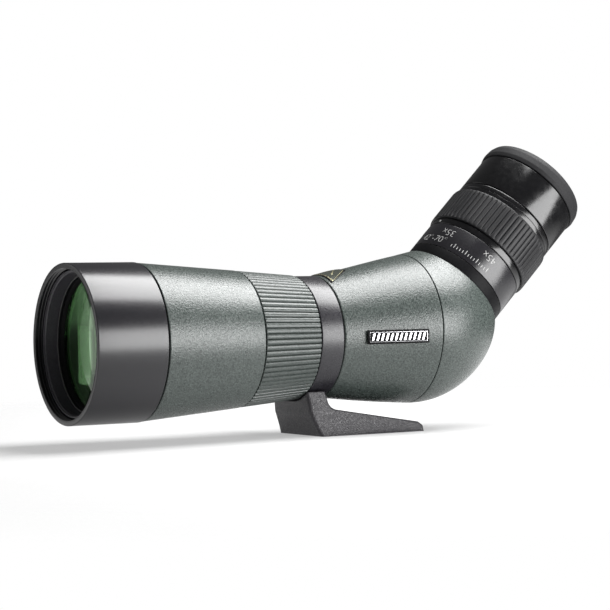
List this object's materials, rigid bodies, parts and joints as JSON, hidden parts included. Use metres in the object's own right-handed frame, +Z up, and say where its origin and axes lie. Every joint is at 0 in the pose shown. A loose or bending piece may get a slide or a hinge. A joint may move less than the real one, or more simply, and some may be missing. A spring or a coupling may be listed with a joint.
{
  "type": "spotting scope",
  "caption": "Angled 65 mm spotting scope with sliding sun hood, ribbed focus ring, zoom eyepiece and twist-up eyecup, in a rotating tripod collar on a flat foot.",
  "frame": {"origin": "middle of the foot's flat base, where the scope sits on a tripod plate", "axes": "+Z up, away from the base; -X the way the objective looks, so +X runs back to the eyepiece; the eyepiece tilts 45 degrees from +X towards +Z"},
  "size_m": [0.3127, 0.0925, 0.1567],
  "materials": {
    "green_paint": "fine hammered grey-green enamel, satin",
    "green_rubber": "grey-green ribbed rubber armour, matt",
    "black_metal": "satin black anodised",
    "gloss_black": "glossy black",
    "black_rubber": "matt soft black",
    "crackle_metal": "crackle-finish dark grey",
    "silver_plate": "black plate with bright raised border",
    "inner_black": "matt black anodised",
    "coated_glass": "green anti-reflection coating",
    "clear_glass": "polished optical glass",
    "brass": "machined",
    "steel": "machined",
    "nylon": "matt",
    "felt": "woven felt"
  },
  "bodies": {
    "tripod_mount": {"foot": "crackle_metal", "thread_insert": "brass", "tripod_collar": "black_metal", "collar_liner": "nylon", "collar_screw_1": "steel", "collar_screw_2": "steel"},
    "lock_knob": {"lock_knob": "black_metal", "lock_screw": "steel"},
    "scope_body": {"hood_brake_ring": "felt", "objective_tube": "black_metal", "objective_retaining_ring": "inner_black", "objective_crown_lens": "coated_glass", "objective_flint_lens": "clear_glass", "front_barrel": "green_paint", "front_baffle": "inner_black", "rear_baffle": "inner_black", "chassis_tube": "inner_black", "chassis_nut": "brass", "prism_housing": "green_paint", "rear_cover": "green_paint", "housing_gasket": "black_rubber", "index_plate": "black_metal", "badge_plate": "silver_plate", "erecting_prism": "clear_glass", "prism_cradle": "inner_black", "prism_clip": "steel", "cradle_screw_1": "steel", "cradle_screw_2": "steel", "eyepiece_mount_ring": "black_metal", "eyepiece_body": "gloss_black", "field_lens_cell": "inner_black", "field_lens": "clear_glass", "field_stop": "inner_black", "eye_lens_cell": "inner_black", "inner_eye_lens": "clear_glass", "eye_lens": "coated_glass", "eye_lens_retainer": "inner_black"},
    "lens_hood": {"sun_hood": "black_metal"},
    "focus_control": {"focus_ring": "green_rubber"},
    "focus_carriage": {"focus_lens_cell": "inner_black", "focus_lens": "clear_glass", "focus_lens_retainer": "inner_black", "focus_drive_pin": "steel"},
    "zoom_control": {"zoom_ring": "gloss_black", "zoom_grip": "black_rubber"},
    "zoom_carriage": {"zoom_lens_cell": "inner_black", "zoom_lens": "clear_glass", "zoom_drive_pin": "steel"},
    "eyecup_lifter": {"eyecup_guide": "brass"},
    "eyecup": {"eyecup_barrel": "gloss_black", "eyecup_rubber": "black_rubber"}
  },
  "joints": [
    {"name": "body_roll", "type": "hinge", "parent": "tripod_mount", "child": "scope_body", "pos_m": [-0.02985, 0, 0.052], "axis": [1, 0, 0], "continuous": true},
    {"name": "collar_lock_turn", "type": "hinge", "parent": "tripod_mount", "child": "lock_knob", "pos_m": [-0.02985, 0.044, 0.052], "axis": [0, 1, 0], "range_deg": [0, 270]},
    {"name": "hood_slide", "type": "slide", "parent": "scope_body", "child": "lens_hood", "axis": [-1, 0, 0], "range_m": [0, 0.026]},
    {"name": "focus_turn", "type": "hinge", "parent": "scope_body", "child": "focus_control", "pos_m": [-0.055, 0, 0.052], "axis": [1, 0, 0], "range_deg": [-270, 270]},
    {"name": "focus_travel", "type": "slide", "parent": "scope_body", "child": "focus_carriage", "axis": [1, 0, 0], "range_m": [-0.0072, 0.0072]},
    {"name": "zoom_turn", "type": "hinge", "parent": "scope_body", "child": "zoom_control", "pos_m": [0.0908, 0, 0.1018], "axis": [0.7071, 0, 0.7071], "range_deg": [-78, 76]},
    {"name": "zoom_travel", "type": "slide", "parent": "scope_body", "child": "zoom_carriage", "axis": [0.7071, 0, 0.7071], "range_m": [-0.00546, 0.00532]},
    {"name": "eyecup_lift", "type": "slide", "parent": "scope_body", "child": "eyecup_lifter", "axis": [0.7071, 0, 0.7071], "range_m": [0, 0.0122]},
    {"name": "eyecup_turn", "type": "hinge", "parent": "eyecup_lifter", "child": "eyecup", "pos_m": [0.1108, 0, 0.1218], "axis": [0.7071, 0, 0.7071], "range_deg": [0, 270]}
  ],
  "couplings": [
    {"joint": "focus_travel", "follows": "focus_turn", "m_per_rad": 0.0015},
    {"joint": "zoom_travel", "follows": "zoom_turn", "m_per_rad": 0.004},
    {"joint": "eyecup_lift", "follows": "eyecup_turn", "m_per_rad": 0.00255}
  ]
}
